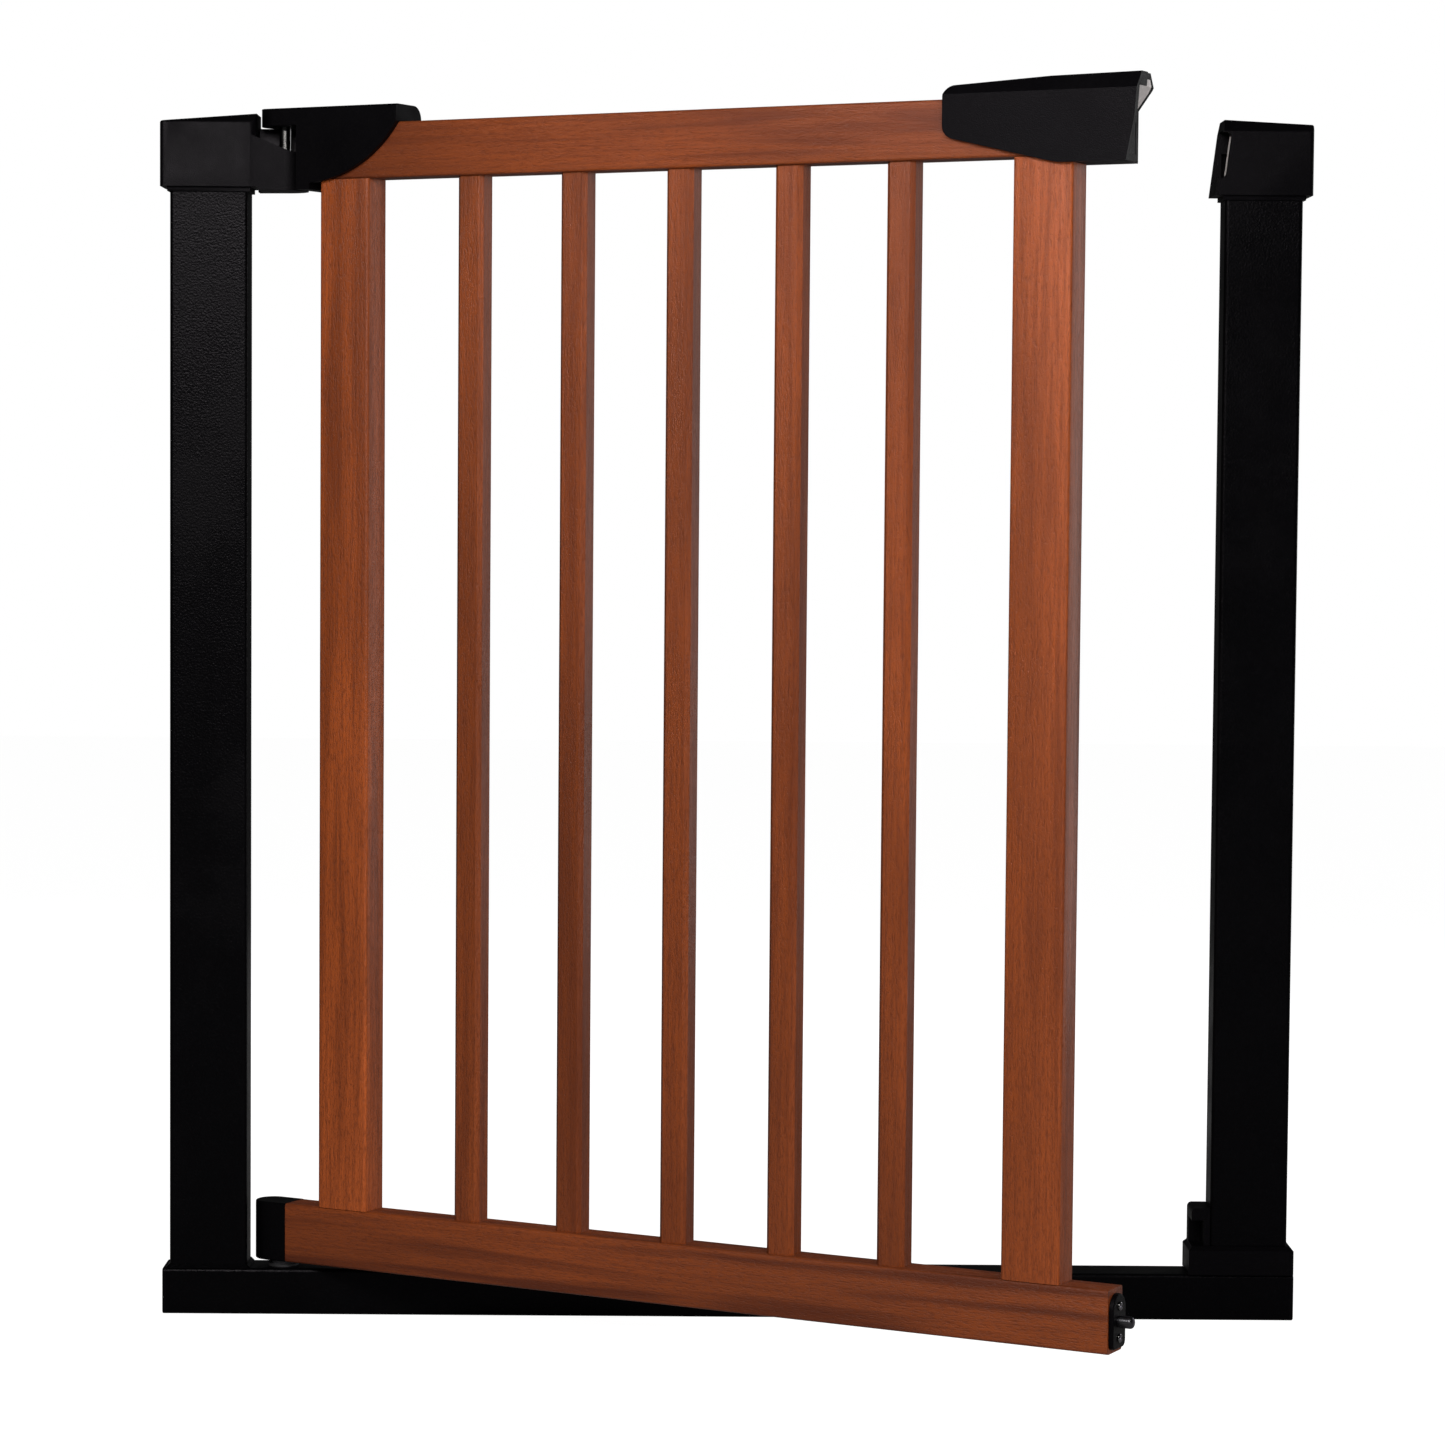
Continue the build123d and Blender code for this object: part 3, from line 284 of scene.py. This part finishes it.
ring_noise = drawn_noise(scale=95.0, draw=0.045, detail=2.0, rough=0.5, bend=0.4)
fibre_noise = drawn_noise(scale=620.0, draw=0.03, detail=3.0, rough=0.6)
pore_noise = drawn_noise(scale=1150.0, draw=0.16, detail=2.0, rough=0.6)
speck_noise = drawn_noise(scale=1100.0, draw=0.4, detail=2.0, rough=0.6)
cloud_noise = drawn_noise(scale=16.0, draw=0.22, detail=2.0, rough=0.5)
specks = math_node(grain_tree, "MULTIPLY", span(grain_tree, speck_noise, 0.5, 0.72), SPECK_SHARE)
grain_fields = {
    "Bands": span(grain_tree, ring_noise, 0.47, 0.68),
    "Fibres": fibre_noise,
    "Pores": math_node(grain_tree, "MAXIMUM", span(grain_tree, pore_noise, 0.47, 0.7), specks),
    "Clouds": span(grain_tree, cloud_noise, 0.3, 0.7),
}
for label, source in grain_fields.items():
    grain_tree.links.new(source, grain_out.inputs[label])
print("wood grain group has", len(grain_tree.nodes), "nodes")

# %% [markdown]
# Powder coat and moulded plastic both have a skin: a fine even texture, slow changes of gloss from handling,
# and a few lighter grains of dust. A flat colour would look like a drawing. One group serves every skin, and
# its scale is what tells a sprayed coat from a mould's grain.

# %% Fine skin group
skin_tree, skin_in, skin_out = new_group(
    "fine_skin",
    [("Vector", "NodeSocketVector", None), ("Scale", "NodeSocketFloat", 900.0)],
    ["Texture", "Handling", "Dust"],
)


def skin_noise(scale, detail, rough):
    """Even noise over the surface; the scale is a number or a socket."""
    field = skin_tree.nodes.new("ShaderNodeTexNoise")
    field.inputs["Detail"].default_value = detail
    field.inputs["Roughness"].default_value = rough
    skin_tree.links.new(skin_in.outputs["Vector"], field.inputs["Vector"])
    if isinstance(scale, float):
        field.inputs["Scale"].default_value = scale
    else:
        skin_tree.links.new(scale, field.inputs["Scale"])
    return field.outputs["Fac"]


texture_noise = skin_noise(scale=skin_in.outputs["Scale"], detail=2.0, rough=0.5)
handling_noise = skin_noise(scale=14.0, detail=5.0, rough=0.65)
dust_noise = skin_noise(scale=420.0, detail=3.0, rough=0.6)
skin_fields = {
    "Texture": texture_noise,
    "Handling": span(skin_tree, handling_noise, 0.35, 0.7),
    "Dust": span(skin_tree, dust_noise, 0.52, 0.78),
}
for label, source in skin_fields.items():
    skin_tree.links.new(source, skin_out.inputs[label])
print("fine skin group has", len(skin_tree.nodes), "nodes")

# %% [markdown]
# ## Materials
# Every material starts as a Principled shader. Colours are laid over each other by masks, and a bump node
# turns a height into small changes of the surface's tilt.


# %% Material helpers
def blank_material(name):
    """A new material; returns it, its tree and its Principled shader."""
    material = bpy.data.materials.new(name)
    material.use_nodes = True
    tree = material.node_tree
    return material, tree, tree.nodes["Principled BSDF"]


def blend_colours(tree, factor, first, second):
    """Go from the first colour to the second by a socket; a colour is a triple or a socket."""
    mixer = tree.nodes.new("ShaderNodeMix")
    mixer.data_type = "RGBA"
    tree.links.new(factor, mixer.inputs["Factor"])
    for slot, value in ((6, first), (7, second)):
        if isinstance(value, tuple):
            mixer.inputs[slot].default_value = (*value, 1.0)
        else:
            tree.links.new(value, mixer.inputs[slot])
    return mixer.outputs[2]


def add_bump(tree, look, height, strength, depth):
    """Tilt the surface by a height; depth is how far apart its highs and lows are, in metres."""
    bump = tree.nodes.new("ShaderNodeBump")
    bump.inputs["Strength"].default_value = strength
    bump.inputs["Distance"].default_value = depth
    tree.links.new(height, bump.inputs["Height"])
    tree.links.new(bump.outputs["Normal"], look.inputs["Normal"])


print("helpers ready:", ", ".join(helper.__name__ for helper in (blank_material, blend_colours, add_bump)))

# %% [markdown]
# The wood is reddish-brown stain under a satin lacquer. One material for the whole door would make its boards
# look cut from one block. Here each piece gets its own seed, and its grain runs the way that piece was sawn:
# along the rails, and up the stiles and bars. Each piece's stain is also made lighter or darker as painted
# light and shade, to copy how the light falls on that board; the hinge stile is painted lightest.

# %% Wood
RED_BROWN = (0.305, 0.063, 0.0115)
DARK_STAIN = (0.08, 0.0145, 0.003)
CLOUD_SHADE = 0.62
FIBRE_DEPTH = 0.5
UPRIGHT_BAND_DEPTH = 0.4
RAIL_BAND_DEPTH = 0.95
PORE_DEPTH = 0.5
WOOD_BUMP = 0.45
WOOD_BUMP_DEPTH = 0.0005


def grain_of(tree, upright, seed):
    """The grain group, with its first axis turned to run up the piece or along the door."""
    place = tree.nodes.new("ShaderNodeTexCoord")
    align = tree.nodes.new("ShaderNodeMapping")
    align.inputs["Rotation"].default_value = (0.0, 0.0, -door_angle)
    tree.links.new(place.outputs["Object"], align.inputs["Vector"])
    split = tree.nodes.new("ShaderNodeSeparateXYZ")
    join = tree.nodes.new("ShaderNodeCombineXYZ")
    tree.links.new(align.outputs["Vector"], split.inputs["Vector"])
    order = ("Z", "X", "Y") if upright else ("X", "Y", "Z")
    for source, target in zip(order, ("X", "Y", "Z")):
        tree.links.new(split.outputs[source], join.inputs[target])
    grain = tree.nodes.new("ShaderNodeGroup")
    grain.node_tree = grain_tree
    grain.inputs["Seed"].default_value = seed
    tree.links.new(join.outputs["Vector"], grain.inputs["Vector"])
    return grain


def wood(name, upright, seed, painted_shading=1.0, light=RED_BROWN, dark=DARK_STAIN):
    """Wood with its grain up the piece or along the door; painted_shading scales the stain as painted light and
    shade.
    """
    # Painted light and shade: the stain is scaled lighter or darker to copy how the light falls on this board.
    light = tuple(painted_shading * value for value in light)
    deep = tuple(CLOUD_SHADE * value for value in light)
    material, tree, look = blank_material(name)
    grain = grain_of(tree, upright, seed)
    fibres = grain.outputs["Fibres"]
    stain = blend_colours(tree, grain.outputs["Clouds"], deep, light)
    lined = blend_colours(tree, span(tree, fibres, 0.35, 0.75, 0.0, FIBRE_DEPTH), stain, dark)
    band_depth = UPRIGHT_BAND_DEPTH if upright else RAIL_BAND_DEPTH
    bands = math_node(tree, "MULTIPLY", grain.outputs["Bands"], band_depth)
    banded = blend_colours(tree, bands, lined, dark)
    pores = math_node(tree, "MULTIPLY", grain.outputs["Pores"], PORE_DEPTH)
    pored = blend_colours(tree, pores, banded, dark)
    tree.links.new(pored, look.inputs["Base Color"])
    tree.links.new(span(tree, fibres, 0.2, 0.8, 0.4, 0.56), look.inputs["Roughness"])
    look.inputs["Specular IOR Level"].default_value = 0.35
    look.inputs["Coat Weight"].default_value = 0.18
    look.inputs["Coat Roughness"].default_value = 0.22
    height = math_node(tree, "SUBTRACT", fibres, grain.outputs["Pores"])
    add_bump(tree, look, height, WOOD_BUMP, WOOD_BUMP_DEPTH)
    return material


# Painted light and shade: each factor lightens (above 1) or darkens (below 1) a board's stain to copy how the
# light falls on it.
PAINTED_BOARD_SHADING = {
    "top_rail": 0.68,
    "bottom_rail": 0.74,
    "hinge_stile": 1.3,
    "latch_stile": 0.9,
    "bar_1": 0.76,
    "bar_2": 0.74,
    "bar_3": 0.72,
    "bar_4": 0.77,
    "bar_5": 0.86,
}
SEED_START = 1.3
SEED_STEP = 3.7
WOOD = {
    name: wood(name + "_wood", "rail" not in name, SEED_STEP * number + SEED_START, painted_shading)
    for number, (name, painted_shading) in enumerate(PAINTED_BOARD_SHADING.items())
}
print(len(WOOD), "wood materials, one for each piece")

# %% [markdown]
# The black and pale parts and the bare steel share one recipe, with six values that differ. A recipe for
# each would hide what makes powder coat unlike plastic: a coarser, stronger texture and a little more gloss.
# Their shine leans towards violet, so that the blacks look cool beside the wood.


# %% Coated steel, plastic and bare steel
DUST_GAIN = 1.4
DUST_HAZE = 0.0004
GLOSSIER_BY = 0.05
DULLER_BY = 0.07
VIOLET_SHINE = (0.95, 0.9, 1.0, 1.0)
SKIN_DEPTH = 0.0003


def skinned(name, colour, scale, strength, rough, metallic, shine):
    """A material with a fine moulded or sprayed skin."""
    material, tree, look = blank_material(name)
    place = tree.nodes.new("ShaderNodeTexCoord")
    skin = tree.nodes.new("ShaderNodeGroup")
    skin.node_tree = skin_tree
    skin.inputs["Scale"].default_value = scale
    tree.links.new(place.outputs["Object"], skin.inputs["Vector"])
    dusty = tuple(value * DUST_GAIN + DUST_HAZE for value in colour)
    tree.links.new(blend_colours(tree, skin.outputs["Dust"], colour, dusty), look.inputs["Base Color"])
    gloss = span(tree, skin.outputs["Handling"], 0.0, 1.0, rough - GLOSSIER_BY, rough + DULLER_BY)
    tree.links.new(gloss, look.inputs["Roughness"])
    look.inputs["Metallic"].default_value = metallic
    look.inputs["Specular IOR Level"].default_value = shine
    look.inputs["Specular Tint"].default_value = VIOLET_SHINE
    add_bump(tree, look, skin.outputs["Texture"], strength, SKIN_DEPTH)
    return material


SKINS = {
    # slot: name, colour, texture scale, bump strength, roughness, metalness, shine
    "black_powder_coat": ("powder_coat", (0.0005, 0.0005, 0.0007), 750.0, 0.9, 0.36, 0.0, 0.09),
    "black_plastic": ("black_plastic", (0.001, 0.0009, 0.0012), 1500.0, 0.5, 0.43, 0.0, 0.09),
    "pale_plastic": ("pale_plastic", (0.50, 0.46, 0.45), 2600.0, 0.15, 0.35, 0.0, 0.5),
    "nylon": ("nylon", (0.02, 0.02, 0.021), 2000.0, 0.15, 0.5, 0.0, 0.5),
    "zinc_steel": ("zinc_steel", (0.2, 0.2, 0.2), 3000.0, 0.05, 0.15, 1.0, 0.5),
    "dark_steel": ("dark_steel", (0.10, 0.10, 0.11), 3000.0, 0.1, 0.38, 1.0, 0.5),
}
PALE_BEECH = (0.55, 0.36, 0.2)
DARK_BEECH = (0.4, 0.24, 0.12)
BEECH_SEED = 55.0
LOOKS = {slot: skinned(*values) for slot, values in SKINS.items()}
LOOKS["plain_wood"] = wood("beech_wood", True, BEECH_SEED, light=PALE_BEECH, dark=DARK_BEECH)
slot_of = {part["node"]: part["material_slot"] for part in RECORD["subparts"]}
body_of = {name: body for body, names in RECORD["behaviour"]["bodies"].items() for name in names}
print(len(LOOKS), "other materials")

# %% [markdown]
# ## Pieces with a finer shape
# The next cells build pieces in the door's or the frame's own axes, where each is a simple upright shape.
# They could be turned by their objects, but a pattern on Object coordinates would then turn with them. So
# the whole mesh is put in its place, and every finished object sits at the origin, unturned.


# %% Helpers for built pieces
NEARLY_PARALLEL = 0.999


def finish_piece(name, bm, axes, node, material, sharp):
    """Make the mesh real, hide the CAD piece that it stands for, and let it ride on the same body."""
    bmesh.ops.recalc_face_normals(bm, faces=bm.faces)
    bmesh.ops.transform(bm, matrix=axes, verts=bm.verts)
    mesh = bpy.data.meshes.new(name)
    bm.to_mesh(mesh)
    bm.free()
    mesh.shade_smooth()
    mesh.set_sharp_from_angle(angle=math.radians(sharp))
    mesh.materials.append(material)
    piece = bpy.data.objects.new(name, mesh)
    scene.collection.objects.link(piece)
    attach(piece, body_of[node])
    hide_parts(node)
    return piece


def box_mesh(low, high):
    """A box between two corners, as a fresh bmesh."""
    bm = bmesh.new()
    bmesh.ops.create_cube(bm, size=1.0)
    bmesh.ops.scale(bm, vec=high - low, verts=bm.verts)
    bmesh.ops.translate(bm, vec=(low + high) / 2, verts=bm.verts)
    return bm


def edges_along(bm, axis):
    """Edges that run along one axis."""
    found = []
    for edge in bm.edges:
        way = edge.verts[1].co - edge.verts[0].co
        if way.length > 0 and abs(way[axis]) > NEARLY_PARALLEL * way.length:
            found.append(edge)
    return found


def round_edges(bm, edges, width, segments):
    """Round edges over, or bevel them flat with a single segment."""
    bmesh.ops.bevel(
        bm, geom=edges, offset=width, segments=segments, profile=0.5, affect="EDGES", material=-1
    )


def divide(bm, axis, pieces):
    """Cut a box into equal lengths along an axis."""
    places = [v.co[axis] for v in bm.verts]
    low, high = min(places), max(places)
    for number in range(1, pieces):
        point = Vector((0, 0, 0))
        point[axis] = low + (high - low) * number / pieces
        normal = Vector((0, 0, 0))
        normal[axis] = 1.0
        geometry = list(bm.verts) + list(bm.edges) + list(bm.faces)
        bmesh.ops.bisect_plane(bm, geom=geometry, plane_co=point, plane_no=normal)


print("helpers ready:", ", ".join(helper.__name__ for helper in (box_mesh, round_edges, divide)))

# %% [markdown]
# Rails, stiles and bars are planed sticks. The rails and stiles have their long edges rounded over with a
# small cutter, and the bars have flat bevels. A bevel modifier on the CAD box would give those edges, but not
# the slight unevenness that sanding leaves along each stick, so the sticks are built and cut into lengths.

# %% Wooden sticks
RAIL_ROUNDING = 0.0018
STILE_ROUNDING = 0.0020
BAR_BEVEL = 0.0026
ROUND_STEPS = 5
STICK_LENGTHS = 24
SANDED_AWAY = 0.006
WAVES_PER_METRE = 9.0
WAVE_SHIFT = 7.0
STICK_SHARP_ANGLE = 32.0


def stick(name, axis, ease, segments):
    """A planed stick: a box with eased long edges and a little unevenness."""
    low, high = limits(name, DOOR)
    bm = box_mesh(low, high)
    round_edges(bm, edges_along(bm, axis), ease, segments)
    divide(bm, axis, STICK_LENGTHS)
    middle = (low + high) / 2
    shift = Vector((0, 0, WAVE_SHIFT * len(name)))
    for vert in bm.verts:
        wave = noise.noise(vert.co * WAVES_PER_METRE + shift)
        for side in range(3):
            if side != axis:
                vert.co[side] -= (vert.co[side] - middle[side]) * SANDED_AWAY * abs(wave)
    return finish_piece(name + "_wood", bm, DOOR, name, WOOD[name], STICK_SHARP_ANGLE)


for name in WOOD:
    if "rail" in name:
        stick(name, ALONG, RAIL_ROUNDING, ROUND_STEPS)
    elif "stile" in name:
        stick(name, UP, STILE_ROUNDING, ROUND_STEPS)
    else:
        stick(name, UP, BAR_BEVEL, 1)
print(len(WOOD), "wooden sticks planed")

# %% [markdown]
# ## Post caps
# Each cap is one moulding, but the CAD model splits it in two solids where the hinge arm or the bolt's
# pocket begins. A boolean union could join them, and might leave slivers. Here the faces in the seam are
# deleted, the rims welded and any gap filled, so no seam shows, and the flat facets left over are merged.

# %% Caps welded from their halves
SEAM_SLACK = 1e-5
WELD_REACH = 2e-5
FLAT_ANGLE = 0.5
SHARP_ANGLE = 35.0


def welded(name, nodes, seam_x):
    """One mesh from two CAD solids that meet in a plane across x."""
    bm = bmesh.new()
    for node in nodes:
        bm.from_mesh(NODES[node].data)
    inner = [f for f in bm.faces if all(abs(v.co.x - seam_x) < SEAM_SLACK for v in f.verts)]
    bmesh.ops.delete(bm, geom=inner, context="FACES")
    bmesh.ops.remove_doubles(bm, verts=bm.verts, dist=WELD_REACH)
    bmesh.ops.holes_fill(bm, edges=[edge for edge in bm.edges if edge.is_boundary], sides=0)
    flat = math.radians(FLAT_ANGLE)
    bmesh.ops.dissolve_limit(bm, angle_limit=flat, verts=bm.verts, edges=bm.edges)
    open_edges = sum(1 for edge in bm.edges if not edge.is_manifold)
    piece = finish_piece(name, bm, FRAME, nodes[0], LOOKS["black_plastic"], SHARP_ANGLE)
    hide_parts(nodes[1])
    print(name, "has", len(piece.data.polygons), "faces and", open_edges, "open edges")
    return piece


HINGE_CAP_HALVES = ("hinge_post_cap", "hinge_arm")
LATCH_CAP_HALVES = ("latch_post_cap", "latch_cap_end")
arm_root = limits("hinge_arm", FRAME)[0].x
pocket_end = limits("latch_cap_end", FRAME)[1].x
CAPS = [
    welded("hinge_cap_shell", HINGE_CAP_HALVES, arm_root),
    welded("latch_cap_shell", LATCH_CAP_HALVES, pocket_end),
]

# %% [markdown]
# ## The other pieces
# Everything else keeps its CAD shape. Its sharp edges could be bevelled in the mesh, but a CAD mesh is left
# as it is, so a modifier does it. The narrow bevel stands for the small radius that a mould, a bend or a coat
# of paint leaves there, and gives each edge its thin line of light. Bare steel and nylon stay crisp.

# %% Dress the CAD pieces
SOFT_EDGE = {"black_plastic": 0.0006, "black_powder_coat": 0.0004, "pale_plastic": 0.0004}
SOFT_EDGE_STEPS = 2
SOFT_EDGE_ANGLE = 40


def soften(item, width):
    """A narrow bevel on the sharp edges of a piece."""
    soft = item.modifiers.new("soft_edge", "BEVEL")
    soft.width = width
    soft.segments = SOFT_EDGE_STEPS
    soft.limit_method = "ANGLE"
    soft.angle_limit = math.radians(SOFT_EDGE_ANGLE)
    soft.harden_normals = True


for cap in CAPS:
    soften(cap, SOFT_EDGE["black_plastic"])
built_again = (*WOOD, *HINGE_CAP_HALVES, *LATCH_CAP_HALVES)
dressed = {name: item for name, item in NODES.items() if name not in built_again}
for name, item in dressed.items():
    kind = slot_of[name]
    item.data.materials.clear()
    item.data.materials.append(LOOKS[kind])
    item.data.shade_smooth()
    item.data.set_sharp_from_angle(angle=math.radians(SHARP_ANGLE))
    if kind in SOFT_EDGE:
        soften(item, SOFT_EDGE[kind])
print(len(dressed), "CAD pieces dressed")
